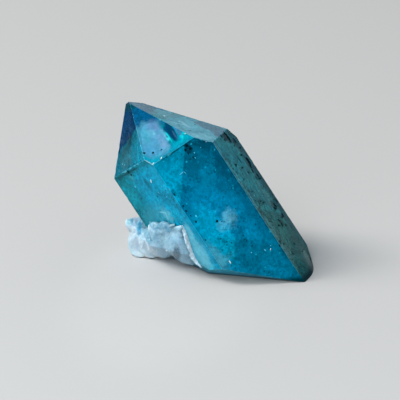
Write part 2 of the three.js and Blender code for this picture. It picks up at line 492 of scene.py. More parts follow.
# The same, where the coat is clean and even over what lies under it: milk, healed cracks and wisps, and one
# painted refraction highlight.
CLEAN_OVALS = {
    FRONT: [
        (4.4, 2.5, 0.9, 2.9, -40, 0.7, 2.4, (0, 0.13, 0.23), 0.5),
        (1.2, 3.4, 1.3, 1.7, -40, 0.8, 2.4, (0, 0.38, 0.62), 0.4),
        (4.6, -6.6, 1.5, 4.6, 0, 0.7, 1.4, (0, 0.2, 0.36), 0.55),
        (-1.4, 11.65, 2.3, 0.24, 0, 0.5, 1.2, (0, 0.09, 0.13), 0.85),
        (1.5, 10.8, 0.8, 0.8, 0, 0.3, 2.5, (0, 0.03, 0.05), 0.9),
        (-5.9, -9.8, 1.3, 3, 4, 0.8, 1.6, (0.16, 0.7, 0.95), 0.55),
    ],
    RIGHT: [
        (0, 2.8, 1.6, 2.6, 20, 0.6, 1.4, (0, 0.17, 0.2), 0.5),
        (1.2, 8.1, 1.1, 1.4, 40, 0.4, 2.4, (0, 0.012, 0.02), 0.97),
        (3.7, 6.1, 0.7, 0.8, 20, 0.4, 2.4, (0, 0.02, 0.03), 0.95),
        (0.8, -12.2, 0.8, 0.7, 0, 0.3, 2, (0, 0.03, 0.04), 0.9),
        (3.5, -11.6, 1.2, 0.5, 0, 0.3, 1.6, (0, 0.03, 0.04), 0.85),
        (3.7, 0.8, 0.9, 1.9, 10, 0.5, 2.4, (0, 0.03, 0.04), 0.85),
        (2.6, -8.9, 1.1, 1.2, 20, 0.3, 2, (0, 0.04, 0.05), 0.85),
    ],
    LEFT: [
        (-1.9, 12.75, 4, 0.24, 0, 0.5, 1.6, (0, 0.09, 0.12), 0.85),
        (4.3, -3.4, 0.9, 2.2, -15, 0.5, 1, (0.2, 0.68, 0.86), 0.75),
        (3.2, -8.2, 2.3, 3.8, -10, 0.5, 1.2, (0.18, 0.68, 0.86), 0.88),
        (6.1, -5, 0.9, 5.5, 0, 0.7, 1, (0, 0.36, 0.6), 0.5),
        (-1.8, 2.8, 3.2, 2, 0, 0.6, 1.6, (0.06, 0.43, 0.54), 0.65),
        (1.4, 1.8, 1.1, 1.6, 0, 0.6, 2, (0.14, 0.6, 0.78), 0.7),
        (0.55, 2.75, 0.85, 0.16, -25, 0.6, 0.8, (0.26, 0.8, 0.95), 0.85),
        (1.15, 1.6, 0.16, 0.85, -18, 0.6, 0.8, (0.24, 0.78, 0.95), 0.8),
    ],
    TIP_FRONT: [
        (0.9, 9.6, 0.9, 1.1, 0, 0.5, 1, (0, 0.2, 0.38), 0.85),
        (-3.2, 7.4, 3.1, 4.8, -6, 0.12, 0.5, (0.1, 0.44, 0.68), 0.95),
        (-1, 10.1, 1.2, 1.5, 0, 0.6, 1.4, (0.16, 0.33, 0.6), 0.7),
        (-1.5, 6.2, 0.7, 2.2, 0, 0.7, 1.6, (0.2, 0.42, 0.68), 0.55),
        (-3.6, 9, 0.8, 2, -12, 0.7, 1.6, (0.06, 0.5, 0.64), 0.7),
        (-2.5, 8.9, 0.7, 0.8, 0, 0.7, 2.4, (0.16, 0.62, 0.84), 0.8),
        (-2, 8.3, 0.28, 0.32, 0, 0.7, 1, (0.2, 0.78, 0.95), 0.9),
        (-4.9, 2.9, 1.5, 0.9, 0, 0.6, 1.2, (0, 0.42, 0.57), 0.75),
        (-4.6, 5.2, 1.1, 1.2, 0, 0.7, 2, (0.06, 0.4, 0.66), 0.6),
        (-1.8, 4.9, 0.7, 1.1, 0, 0.7, 2, (0.28, 0.52, 0.76), 0.5),
        (2.6, 4.6, 3, 3, 0, 0.6, 1, (0, 0.33, 0.47), 0.7),
        # A painted refraction highlight: a thin bright cyan streak along the left side of the navy crack.
        (-0.15, 6, 0.12, 1.9, -5, 0.5, 0.8, (0, 0.78, 0.92), 1),
        (-0.6, 5.5, 0.28, 0.4, 0, 0.6, 1.2, (0.06, 0.78, 0.95), 0.8),
        (0.85, 6.4, 0.72, 2.4, -7, 0.2, 0.6, (0, 0.05, 0.15), 0.95),
        (0.4, 7.5, 0.6, 0.9, -10, 0.3, 1, (0, 0.06, 0.17), 0.9),
        (1, 5.4, 0.18, 1.2, -8, 0.3, 0.8, (0.06, 0.2, 0.42), 0.7),
        (2, 5.9, 0.34, 1.8, -6, 0.3, 0.8, (0.06, 0.26, 0.46), 0.9),
        (1.8, 4.1, 0.34, 0.42, 0, 0.6, 2.4, (0, 0.8, 0.96), 0.95),
        (2.7, 4.5, 0.34, 0.3, 0, 0.6, 2.4, (0, 0.72, 0.86), 0.9),
        (-2, 16.9, 1.2, 0.9, 0, 0.5, 1, (0, 0.1, 0.14), 0.9),
        (0.6, 3.4, 1.1, 0.4, 0, 0.6, 2, (0, 0.56, 0.74), 0.7),
    ],
    TIP_LEFT: [(-0.6, 16.8, 1.8, 0.9, 0, 0.5, 1, (0, 0.07, 0.1), 0.9)],
    TIP_RIGHT: [
        (-2.2, 7.6, 0.4, 1.6, -36, 0.6, 1.6, (0.5, 0.86, 0.95), 0.6),
        (-3.6, 9.2, 0.3, 1.4, 20, 0.6, 1.6, (0.4, 0.76, 0.86), 0.5),
        (1.4, 14.6, 0.6, 1.8, 0, 0.3, 0.6, (0.02, 0.26, 0.5), 0.9),
    ],
}
# The oval where the coat lies in clots under the tip's foot, after its face.
CLOTTED_PLACE = (FRONT, 2.2, 6.6, 3.6, 5.4, 10, 0.8, 1)
# Spots on the line where the deep blue of the tip ends: the middle one, then its two ends.
TIP_LINE = [(TIP_FRONT, -3.8, 11.8), (TIP_LEFT, -2.6, 9.1), (TIP_FRONT, 0.6, 10.4)]
TIP_TINTS = {
    TIP_LEFT: (0, 0.055, 0.16),
    TIP_FRONT: (0, 0.17, 0.42),
    ("pyramid", "under"): (0, 0.08, 0.22),
    ("pyramid", "rear"): (0, 0.1, 0.27),
    ("pyramid", "back"): (0.01, 0.17, 0.36),
}
# Face numbers this close are the same one.
SAME_NUMBER = 0.4
# How much the coat's own tint is darkened or lightened from spot to spot, by what does it.
CLOUD_SHADES = (0.74, 1.19)
STROKE_SHADES = (0.92, 1.07)
GRAIN_SHADES = (0.79, 1.19)
DOT_SHADES = (1.0, 0.54)
CALM_SHARES = (0.75, 1.25)
CALM_TIP = (1.0, 0.6)
VEIL_SHADES = (0.90, 1.10)
# Strokes and streaks run along the point: their pattern is drawn out by this much.
LENGTHWISE = (1.0, 1.0, 0.16)
# Painted shade round the foot, where the point meets the floor: full up to the first height in mm, gone at
# the second.
FOOT_SHADE_LINE = (0.45, 1.4)
FOOT_SHADE_TINT = (0.0, 0.035, 0.05)


def tip_plane():
    """A spot on the line where the deep blue of the tip ends, and the way that the blue lies."""
    spot, left_end, right_end = (on_face(*place, 0) for place in TIP_LINE)
    look = (left_end - spot).cross(right_end - spot).normalized()
    return spot, look if look.dot(ALONG) > 0 else -look


class CoatBench(Bench):
    """The bench for the coat. It knows where a spot is, which face it is on, and a wandering noise."""

    def __init__(self, tree):
        super().__init__(tree)
        self.place = self.add("ShaderNodeTexCoord").outputs["Object"]
        which = self.add("ShaderNodeAttribute", attribute_name="which").outputs["Color"]
        number = self.add("ShaderNodeSeparateColor", {"Color": which}).outputs["Red"]
        self.here = {kind: self.math("COMPARE", number, FACE_NUMBERS[kind], SAME_NUMBER) for kind in LOOKS}
        cloud = self.add("ShaderNodeTexNoise", {"Vector": self.place, "Scale": 900.0, "Detail": 4.0})
        self.wander = self.math("SUBTRACT", cloud.outputs["Fac"], 0.5)

    def mark(self, shape, kind, spot, **values):
        """The mask of a zone or an oval on one face."""
        mask = self.group(shape, place=self.place, wander=self.wander, origin=spot, **values)["Mask"]
        return self.math("MULTIPLY", mask, self.here[kind])

    def oval(self, kind, across, up, half_width, half_height, turn, softness, waver):
        right, rise, _ = face_axes(kind, turn)
        return self.mark(
            "oval", kind, on_face(kind, across, up, 0), across=right / (half_width * MM),
            up=rise / (half_height * MM), softness=softness, waver=waver,
        )

    def zone(self, kind, spot, look, softness, waver):
        right, rise, _ = face_axes(kind)
        return self.mark(
            "zone", kind, on_face(kind, *spot, 0), direction=right * look[0] + rise * look[1],
            softness=softness * MM, waver=waver * MM,
        )

    def lay_all(self, shape, table, tint):
        """The tint with every zone or oval of a table laid over it, face by face."""
        for kind, rows in table.items():
            for *place, colour, share in rows:
                tint = self.lay(shape(kind, *place), share, colour, tint)
        return tint

    def lay_tip(self, tint):
        """The deep blue of the tip, on the faces that show it."""
        spot, look = tip_plane()
        for kind, colour in TIP_TINTS.items():
            mask = self.mark("zone", kind, spot, direction=look, softness=0.3 * MM, waver=1.0 * MM)
            tint = self.mix(mask, tint, colour)
        return tint

    def mottle(self, lengthwise):
        """How much darker or lighter the coat is from spot to spot, and its fine grain."""
        broad = self.patches(self.place, size=0.0038, detail=9.0, low=0.34, high=0.66)["Mask"]
        fine = self.patches(self.place, size=0.0006, detail=5.0, low=0.32, high=0.68)
        calm = self.patches(self.place, size=0.0050, detail=2.0, low=0.35, high=0.65)["Mask"]
        strokes = self.patches(lengthwise, size=0.0006, detail=5.0, low=0.36, high=0.64)["Mask"]
        dots = self.group("dots", place=self.place, spacing=0.0008, reach=0.30, share=0.35)["Mask"]
        shade = self.span(broad, *CLOUD_SHADES)
        for mask, shades in ((strokes, STROKE_SHADES), (fine["Mask"], GRAIN_SHADES), (dots, DOT_SHADES)):
            shade = self.math("MULTIPLY", shade, self.span(mask, *shades))
        tip_calm = self.span(self.here[TIP_RIGHT], *CALM_TIP)
        strength = self.math("MULTIPLY", tip_calm, self.span(calm, *CALM_SHARES))
        return self.math("MULTIPLY_ADD", self.math("SUBTRACT", shade, 1.0), strength, 1.0), fine["Noise"]


def let_light_through(bench, surface, tint):
    """Lamplight and floor light pass the quartz: those rays meet plain tinted clear."""
    clear = bench.add("ShaderNodeBsdfTransparent", {"Color": tint}).outputs["BSDF"]
    path = bench.add("ShaderNodeLightPath").outputs
    passing = bench.math("MAXIMUM", path["Is Shadow Ray"], path["Is Diffuse Ray"])
    choice = bench.add("ShaderNodeMixShader", {0: passing, 1: surface, 2: clear}).outputs["Shader"]
    bench.fill(bench.tree.nodes["Material Output"], {"Surface": choice})


def coated_quartz():
    """Clear quartz under a thin blue coat: its tint changes by face, in zones and in fine mottling, with
    painted shade just above the floor and a painted refraction highlight beside the navy crack.
    """
    finish, shader = new_finish("coated_quartz", {
        "Transmission Weight": 0.60, "IOR": 1.544, "Specular IOR Level": 0.0,
        "Specular Tint": (0.0, 0.75, 1.0),
    })
    bench = CoatBench(finish.node_tree)
    place = bench.place
    coat = bench.add("ShaderNodeAttribute", attribute_name="coat").outputs
    tint = bench.lay_all(bench.oval, COAT_OVALS, coat["Color"])
    tint = bench.lay_tip(bench.lay_all(bench.zone, COAT_ZONES, tint))
    lengthwise = bench.add("ShaderNodeMapping", {
        "Vector": place, "Rotation": STANCE.inverted().to_euler(), "Scale": LENGTHWISE,
    }, vector_type="POINT").outputs["Vector"]
    streaks = bench.patches(lengthwise, size=0.0012, detail=6.0, low=0.44, high=0.62)["Mask"]
    streaks = bench.math("MULTIPLY", streaks, bench.here[RIGHT])
    tint = bench.lay(streaks, share=0.75, colour=(0.0, 0.11, 0.13), tint=tint)
    clots = bench.patches(place, size=0.0011, detail=4.0, low=0.46, high=0.58)["Mask"]
    clots = bench.math("MULTIPLY", clots, bench.oval(*CLOTTED_PLACE))
    tint = bench.lay(clots, share=0.6, colour=(0.0, 0.12, 0.20), tint=tint)
    shade, grain = bench.mottle(lengthwise)
    tint = bench.mix(1.0, tint, shade, blend="MULTIPLY")
    sparkle = bench.group("dots", place=place, spacing=0.0009, reach=0.28, share=0.22)["Mask"]
    tint = bench.lay(sparkle, share=bench.here[FRONT], colour=(0.02, 0.60, 0.84), tint=tint)
    tint = bench.lay_all(bench.oval, CLEAN_OVALS, tint)
    veil = bench.patches(place, size=0.0009, detail=4.0, low=0.35, high=0.65)["Mask"]
    tint = bench.mix(1.0, tint, bench.span(veil, *VEIL_SHADES), blend="MULTIPLY")
    height = bench.add("ShaderNodeSeparateXYZ", {"Vector": place}).outputs["Z"]
    # Painted shade: the coat is darkened just above the floor, where the point stands on it.
    foot = bench.ramp(height, FOOT_SHADE_LINE[0] * MM, FOOT_SHADE_LINE[1] * MM, 1.0, 0.0)
    bench.fill(shader, {
        "Base Color": bench.mix(foot, tint, FOOT_SHADE_TINT),
        "Roughness": coat["Alpha"],
        "Normal": bench.relief(grain, strength=0.35),
    })
    depth = bench.add("ShaderNodeVolumeAbsorption", {"Color": (0.0, 0.80, 0.93), "Density": 80})
    bench.fill(finish.node_tree.nodes["Material Output"], {"Volume": depth.outputs["Volume"]})
    let_light_through(bench, shader.outputs["BSDF"], tint=(0.32, 0.31, 0.30))
    return finish


# Where the druse turns from white to darker blue on its way right, partly its own blue and partly painted
# shade on the right part,
# which faces away from the lamp, and where its left end is painted darker to tone down the lamp's light on
# it:
# a spot in mm, the way it looks, its softness and waver in mm.
DRUSE_RIGHT_SHADE = ((-12.0, -5.0, 6.0), (0.9, -0.4, 0.2), 2.5, 5.0)
DRUSE_LEFT_SHADE = ((-16.6, 0.0, 0.0), (-1.0, 0.0, 0.0), 1.0, 1.5)
# The druse's own places, in mm: painted shade in its fold (the first), and stains where the coat ran over
# it.
# Each has a half width, a half height, a tint and a share.
DRUSE_STAINS_AND_FOLD_SHADE = [
    # Painted shade in the fold.
    ((-7.3, -9.6, 4.2), 0.8, 2.4, (0.03, 0.09, 0.14), 0.95),
    ((-13.2, -3, 6.6), 1.5, 1.3, (0.06, 0.23, 0.33), 0.9),
    ((-14.8, -1.9, 5.4), 0.8, 0.5, (0.16, 0.32, 0.42), 0.8),
    ((-15.7, 0.2, 7.4), 0.9, 0.6, (0.08, 0.2, 0.31), 0.85),
    ((-16.9, 0.4, 7.4), 0.6, 0.6, (0.06, 0.26, 0.34), 0.8),
    ((-14.95, -0.8, 6.7), 0.6, 1.1, (0, 0.25, 0.4), 1),
    ((-10, -7, 7.2), 2.6, 1.7, (0.12, 0.27, 0.36), 0.7),
    ((-10.6, -6.6, 9.9), 3.2, 1.1, (0.045, 0.19, 0.28), 1),
]


def sugary_quartz():
    """Sugary white quartz, bluer and darker to the right, partly with painted shade, with painted shade in
    its fold and at its left end, stained where the coat ran over it.
    """
    finish, shader = new_finish("sugary_quartz", {
        "Roughness": 0.45, "Subsurface Weight": 0.85, "Subsurface Radius": (0.5, 0.8, 1.0),
        "Subsurface Scale": 0.0026,
    })
    bench = Bench(finish.node_tree)
    place = bench.add("ShaderNodeTexCoord").outputs["Object"]
    broad = bench.patches(place, size=0.0025, detail=3.0, low=0.35, high=0.65)
    fine = bench.patches(place, size=0.0004, detail=3.0, low=0.3, high=0.7)
    wander = bench.math("SUBTRACT", broad["Noise"], 0.5)

    def side(spot, look, softness, waver):
        return bench.group(
            "zone", place=place, wander=wander, origin=Vector(spot) * MM, direction=look,
            softness=softness * MM, waver=waver * MM,
        )["Mask"]

    # Painted shade, partly: darker and bluer on the right part, which faces away from the lamp.
    body = bench.mix(side(*DRUSE_RIGHT_SHADE), (0.41, 0.52, 0.60), (0.165, 0.34, 0.46))
    body = bench.lay(broad["Mask"], share=0.2, colour=(0.42, 0.56, 0.66), tint=body)
    # Painted shade that tones down the lamp's light on the left end.
    body = bench.lay(side(*DRUSE_LEFT_SHADE), share=0.8, colour=(0.27, 0.37, 0.43), tint=body)
    for spot, width, height, colour, share in DRUSE_STAINS_AND_FOLD_SHADE:
        mask = bench.group(
            "oval", place=place, wander=wander, origin=Vector(spot) * MM, softness=0.4, waver=0.8,
            across=(1 / (width * MM), 0, 0), up=(0, 0, 1 / (height * MM)),
        )["Mask"]
        body = bench.lay(mask, share, colour, body)
    body = bench.lay(fine["Mask"], share=0.22, colour=(0.54, 0.65, 0.72), tint=body)
    bench.fill(shader, {"Base Color": body, "Normal": bench.relief(fine["Noise"], strength=0.3)})
    return finish


# How rough the sealed clouds are, and how much darker the patches of a flat tint are.
CLOUD_ROUGHNESS = 0.8
PATCH_SHADE = 0.6


def patchy(name, roughness, deep, pale, **patches):
    """A finish whose tint goes from deep to pale in patches; its shader, its bench and their mask."""
    finish, shader = new_finish(name, {"Roughness": roughness})
    bench = Bench(finish.node_tree)
    place = bench.add("ShaderNodeTexCoord").outputs["Object"]
    mask = bench.patches(place, **patches)["Mask"]
    bench.fill(shader, {"Base Color": bench.mix(mask, deep, pale)})
    return finish, shader, bench, mask


def sealed_cloud(name, deep, pale, thin, thick, size):
    """A cloud inside the quartz: broken up into wisps, so that the clear quartz shows between them."""
    finish, shader, bench, wisps = patchy(
        name, CLOUD_ROUGHNESS, deep, pale, size=size, detail=4.0, low=0.35, high=0.65, warp=1.0)
    bench.fill(shader, {"Alpha": bench.span(wisps, thin, thick)})
    return finish


def flat_tint(name, colour, roughness):
    """An even tint, a little darker in patches."""
    darker = tuple(part * PATCH_SHADE for part in colour)
    return patchy(name, roughness, darker, colour, size=0.0006, detail=3.0, low=0.3, high=0.7)[0]


# ---------------------------------------------------------------- pieces

def new_piece(name, solid, finish, smooth=True):
    mesh = as_mesh(name, solid)
    mesh.materials.append(finish)
    for polygon in mesh.polygons:
        polygon.use_smooth = smooth
    piece = put(name, mesh)
    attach(piece, "root")
    return piece


# The coat on each face: its tint and its roughness.
COATS = {
    LEFT: (0, 0.45, 0.71, 0.12),
    FRONT: (0, 0.27, 0.485, 0.16),
    RIGHT: (0.03, 0.37, 0.36, 0.22),
    ("prism", "back"): (0.01, 0.4, 0.62, 0.16),
    ("prism", "rear"): (0.01, 0.45, 0.7, 0.16),
    ("prism", "under"): (0.01, 0.45, 0.66, 0.16),
    TIP_LEFT: (0, 0.2, 0.29, 0.06),
    TIP_FRONT: (0, 0.41, 0.58, 0.04),
    TIP_RIGHT: (0.17, 0.5, 0.61, 0.1),
    ("pyramid", "back"): (0.1, 0.5, 0.66, 0.1),
    ("pyramid", "rear"): (0.02, 0.42, 0.66, 0.1),
    ("pyramid", "under"): (0.02, 0.42, 0.66, 0.1),
    ("break", ""): (0.01, 0.34, 0.46, 0.3),
}
# Edge coats: pale with wear and painted sheen, a bright painted highlight, painted shade that hides the
# highlight on the rounded edge between the left and front faces, and the coat in the nicks.
WORN_SHEEN_EDGE = (0.4, 0.8, 0.9, 0.3)
GLINT_EDGE = (0.85, 0.98, 1, 0.35)
SHADED_EDGE = (0, 0.3, 0.5, 0.3)
NICK_COAT = (0.08, 0.46, 0.6, 0.4)
# How worn each edge is, with painted sheen, and how readily it nicks, where they are unlike the others. The
# edge between the tip's front face and the left face is a painted highlight.
EDGE_WEAR_AND_SHEEN = {
    frozenset({TIP_LEFT, TIP_FRONT}): 0.15,
    frozenset({TIP_FRONT, FRONT}): 0.1,
    frozenset({TIP_FRONT, LEFT}): 1.0,
    frozenset({FRONT, RIGHT}): 0.08,
}
USUAL_WEAR_AND_SHEEN = 0.2
EDGE_ROUGHNESS = 0.4
EDGE_NICKS = {
    frozenset({LEFT, FRONT}): 0.3,
    frozenset({TIP_LEFT, TIP_FRONT}): 0.2,
    frozenset({TIP_FRONT, FRONT}): 0.5,
    frozenset({TIP_FRONT, TIP_RIGHT}): 0.6,
    frozenset({TIP_RIGHT, FRONT}): 4.0,
    frozenset({TIP_RIGHT, RIGHT}): 2.5,
}
# The painted highlight on the edge under the tip's front face fades out this far from the corner where it
# starts, in mm.
GLINT_REACH = 3.0
GLINT_CORNER = (TIP_FRONT, -6.0, 2.3, 0)
# The nicks along the edges: how many, their radius and how deep they bite, in mm, how far along the
# edge they lie, how much longer than wide they are, and how uneven, with bumps of what size in mm.
NICK_COUNT = 90
NICK_RADII = (0.25, 0.9)
NICK_BITES = (0.04, 0.16)
NICK_PLACES = (0.03, 0.97)
NICK_STRETCH = (1.0, 2.2)
NICK_ROUGHNESS = 0.06
NICK_GRAIN = 0.3
# Edges below this height stay whole, in mm: there the point stands on its foot.
NICK_FLOOR = 1.0
# How far the edges are rounded, how fine the skin is and how high its relief, in mm.
EDGE_ROUNDING = 0.12
SKIN_STEP = 0.7
RELIEF = 0.03
# The most times that long edges are split.
SPLIT_ROUNDS = 8
# The growth steps across the point, by mm along it, and the gentle swells, by their size in mm.
STEP_RATE = 1.3
STEP_SHARE = 0.6
SWELL_SIZE = 3.5
# A spot of the skin is on a flat face, or in a nick, by how deep it lies under the faces, in mm.
FLAT_DEPTH = 0.003
NICK_DEPTH = 0.05
# Edges that turn by less than this many degrees are shaded smooth.
SMOOTH_TURN = 12
# The swollen heel: how far it stands out, how high it reaches, and where it runs across the face.
HEEL_SWELL = 0.85
HEEL_HEIGHT = 4.5
HEEL_START = -6.9
HEEL_END = 3.3


def nick_cutters(edges):
    """Rough balls that stand just into the edges: what they take away leaves shell-shaped nicks."""
    dice = random.Random(11)
    cutters = bmesh.new()
    for _ in range(NICK_COUNT):
        start, end, outward, _ = dice.choices(edges, weights=[edge[3] for edge in edges])[0]
        radius = dice.uniform(*NICK_RADII) * MM
        bite = dice.uniform(*NICK_BITES) * MM
        spot = start.lerp(end, dice.uniform(*NICK_PLACES)) + outward * (radius - bite)
        ball = bmesh.ops.create_icosphere(cutters, subdivisions=2, radius=radius)
        stretch = dice.uniform(*NICK_STRETCH)
        lengthwise = (end - start).normalized()
        for vert in ball["verts"]:
            vert.co += lengthwise * vert.co.dot(lengthwise) * (stretch - 1)
            vert.co *= 1 + NICK_ROUGHNESS * noise.noise(vert.co / (NICK_GRAIN * MM) + spot / MM)
            vert.co += spot
    return as_mesh("nick_cutters", cutters)


def nearest_faces(spot):
    """How far a spot lies inside each of the point's flat faces, nearest first."""
    return sorted((distance - normal.dot(spot - HEART), kind) for kind, normal, distance in HULL)


def blend(first, second, share):
    return tuple(a + (b - a) * share for a, b in zip(first, second))


def edge_coat(first, second, spot):
    """The coat on a rounded edge: worn pale with painted sheen, a painted highlight beside the corner at the
    foot of the tip, and painted shade on the edge between the left and front faces.
    """
    pair = frozenset({first, second})
    # Painted shade: this edge is darkened so that its rounding shows no highlight.
    if pair == frozenset({LEFT, FRONT}):
        return SHADED_EDGE
    wear_and_sheen = EDGE_WEAR_AND_SHEEN.get(pair, USUAL_WEAR_AND_SHEEN)
    if pair == frozenset({TIP_FRONT, FRONT}):
        away = (spot - on_face(*GLINT_CORNER)).length / MM
        wear_and_sheen = max(wear_and_sheen, 1 - away / GLINT_REACH)
    coat = blend(COATS[first], COATS[second], 0.5)
    *tint, roughness = blend(coat, GLINT_EDGE if wear_and_sheen > 0.5 else WORN_SHEEN_EDGE, wear_and_sheen)
    return *tint, max(roughness, EDGE_ROUGHNESS)


def baked(mesh, kind, **settings):
    """The mesh that one modifier makes of another mesh."""
    blank = put("blank", mesh)
    maker = blank.modifiers.new("maker", kind)
    for key, value in settings.items():
        setattr(maker, key, value)
    made = bpy.data.meshes.new_from_object(blank.evaluated_get(bpy.context.evaluated_depsgraph_get()))
    bpy.data.objects.remove(blank)
    return made


def chipped_blank():
    """The point with rounded edges and nicks along them."""
    solid = merged_copy("quartz_point")
    edges = []
    for edge in solid.edges:
        first, second = (face.normal for face in edge.link_faces)
        keenness = EDGE_NICKS.get(frozenset({name_face(first), name_face(second)}), 1.0)
        if min(vert.co.z for vert in edge.verts) > NICK_FLOOR * MM:
            start, end = (vert.co.copy() for vert in edge.verts)
            edges.append((start, end, (first + second).normalized(), keenness * (end - start).length))
    bmesh.ops.bevel(
        solid, geom=solid.edges[:], offset=EDGE_ROUNDING * MM, segments=2, profile=0.5,
        affect="EDGES", clamp_overlap=True,
    )
    cutters = put("nick_cutters", nick_cutters(edges))
    made = baked(
        as_mesh("rounded_point", solid), "BOOLEAN", operation="DIFFERENCE", object=cutters,
        solver="EXACT", use_self=True,
    )
    bpy.data.objects.remove(cutters)
    return made


def refine(solid, longest):
    """Splits long edges until the skin is fine enough to carry relief."""
    bmesh.ops.triangulate(solid, faces=solid.faces)
    for _ in range(SPLIT_ROUNDS):
        long_edges = [edge for edge in solid.edges if edge.calc_length() > longest]
        if not long_edges:
            break
        bmesh.ops.subdivide_edges(solid, edges=long_edges, cuts=1, use_grid_fill=False)
        bmesh.ops.triangulate(solid, faces=[face for face in solid.faces if len(face.verts) > 3])


def layered_noise(spot, size, layers=3):
    """Noise in layers of ever finer lumps, from a size in mm down."""
    return noise.fractal(spot / (size * MM), 1.0, 2.0, layers)


def growth_relief(spot):
    """Low growth relief of the faces, in mm: steps across the point's length and gentle swells."""
    along = (spot - HEART).dot(ALONG) / MM
    step = noise.noise(Vector((along * STEP_RATE, 0, 7))) * STEP_SHARE
    return (step + layered_noise(spot, SWELL_SIZE)) * RELIEF


def soft_step(value, low, high):
    share = min(max((value - low) / (high - low), 0), 1)
    return share * share * (3 - 2 * share)


def heel_swell(spot):
    """The foot of the right face swells out a little where it meets the surface."""
    right, _, normal = face_axes(RIGHT)
    depth = (FACES[RIGHT][1] - normal.dot(spot - HEART)) / MM
    across = right.dot(spot - HEART) / MM
    height = spot.z / MM
    if height > HEEL_HEIGHT or depth > 1 or not HEEL_START < across < HEEL_END:
        return Vector()
    outward = Vector((normal.x, normal.y, 0)).normalized()
    arch = math.sin(math.pi * (across - HEEL_START) / (HEEL_END - HEEL_START))
    share = arch * (1 - soft_step(height, 0, HEEL_HEIGHT)) * (1 - soft_step(depth, 0, 1))
    return outward * share * HEEL_SWELL * MM


def coat_skin(solid):
    """Gives each face of the skin its coat, and the number of the crystal face that it is on."""
    coat = solid.loops.layers.float_color.new("coat")
    which = solid.loops.layers.float_color.new("which")
    for face in solid.faces:
        spot = face.calc_center_median()
        (depth, kind), (_, neighbour) = nearest_faces(spot)[:2]
        tint = COATS[kind]
        number = FACE_NUMBERS.get(kind, 0)
        if depth > NICK_DEPTH * MM:
            tint = NICK_COAT
            number = 0
        elif depth > FLAT_DEPTH * MM:
            tint = edge_coat(kind, neighbour, spot)
        for loop in face.loops:
            loop[coat] = tint
            loop[which] = (number, 0, 0, 1)
        face.smooth = True


def make_point():
    solid = as_solid(chipped_blank())
    bmesh.ops.remove_doubles(solid, verts=solid.verts, dist=MERGE_DISTANCE)
    refine(solid, SKIN_STEP * MM)
    solid.normal_update()
    coat_skin(solid)
    for edge in solid.edges:
        edge.smooth = edge.calc_face_angle(0) < math.radians(SMOOTH_TURN)
    for vert in solid.verts:
        depth, kind = nearest_faces(vert.co)[0]
        if depth < FLAT_DEPTH * MM and kind != BREAK and all(edge.smooth for edge in vert.link_edges):
            vert.co -= FACES[kind][0] * (RELIEF + growth_relief(vert.co)) * MM
        vert.co += heel_swell(vert.co)
    piece = new_piece("coated_point", solid, coated_quartz())
    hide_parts("quartz_point")


# The phantom: an older, cloudy tip inside the point, by its outline under the tip's front face.
PHANTOM_OUTLINE = [
    (-3.6, 11.5), (-2.7, 12), (-1.7, 12), (-0.6, 11.5), (0.1, 10.4), (-0.1, 8.4), (-0.3, 6.4),
    (0, 4.6), (-0.6, 3.2), (-2.4, 3), (-4.4, 3.1), (-5.9, 3.8), (-6.3, 5.1), (-5.6, 7.2), (-4.6, 9.6),
]
# Its rings: how far each is drawn in towards the middle, and its depth in mm.
PHANTOM_RINGS = [(0.45, 0.45), (0.12, 0.65), (0, 1.1), (0.3, 2.2)]
# How broad the lumps of a cloud's skin are, in mm.
CLOUD_LUMPS = 1.5
# Clouds sealed in the point: the face that each is seen under, its place there, its radii, how far
# its skin wanders and how far it stays under the faces.
CLOUDS = {
    "root_cloud": (LEFT, (3.6, -6.8, 0.9), (1.6, 5, 0.6), 0.25, 0.25),
    "seat_haze": (LEFT, (0.6, 1, 0.8), (2.4, 1.4, 0.5), 0.5, 0.25),
    "front_haze": (FRONT, (0.8, -4.9, 0.6), (1.2, 1.6, 0.3), 0.6, 0.2),
}


def loft(loops):
    """A rounded closed body through loops of spots."""
    solid = bmesh.new()
    rings = [[solid.verts.new(spot) for spot in loop] for loop in loops]
    for upper, lower in zip(rings, rings[1:]):
        for i in range(len(upper)):
            solid.faces.new((upper[i - 1], upper[i], lower[i], lower[i - 1]))
    solid.faces.new(rings[0])
    solid.faces.new(reversed(rings[-1]))
    bmesh.ops.recalc_face_normals(solid, faces=solid.faces)
    return as_solid(baked(as_mesh("loft", solid), "SUBSURF", levels=3, render_levels=3))


def roughen(solid, size, height):
    """Lumps of a size on a body's skin, both in mm."""
    for vert in solid.verts:
        vert.co += vert.normal * layered_noise(vert.co, size) * height * MM


def phantom_body():
    """A rounded body under the tip's front face."""
    middle = sum((Vector(spot) for spot in PHANTOM_OUTLINE), Vector((0, 0))) / len(PHANTOM_OUTLINE)
    loops = []
    for drawn_in, depth in PHANTOM_RINGS:
        spots = [Vector(spot).lerp(middle, drawn_in) for spot in PHANTOM_OUTLINE]
        loops.append([on_face(TIP_FRONT, *spot, depth) for spot in spots])
    solid = loft(loops)
    roughen(solid, size=1.2, height=0.25)
    clip_to_hull(solid, depth=0.35)
    return solid


def lump(middle, radii, axes, roughness, clear):
    """A rounded body with an uneven skin, trimmed to the inside of the point."""
    solid = bmesh.new()
    bmesh.ops.create_icosphere(solid, subdivisions=5, radius=1)
    for vert in solid.verts:
        spot = Vector()
        for axis, radius, part in zip(axes, radii, vert.co):
            spot += axis * (radius * part * MM)
        vert.co = middle + spot * (1 + roughness * layered_noise(middle + spot, CLOUD_LUMPS, layers=4))
    clip_to_hull(solid, clear)
    return solid


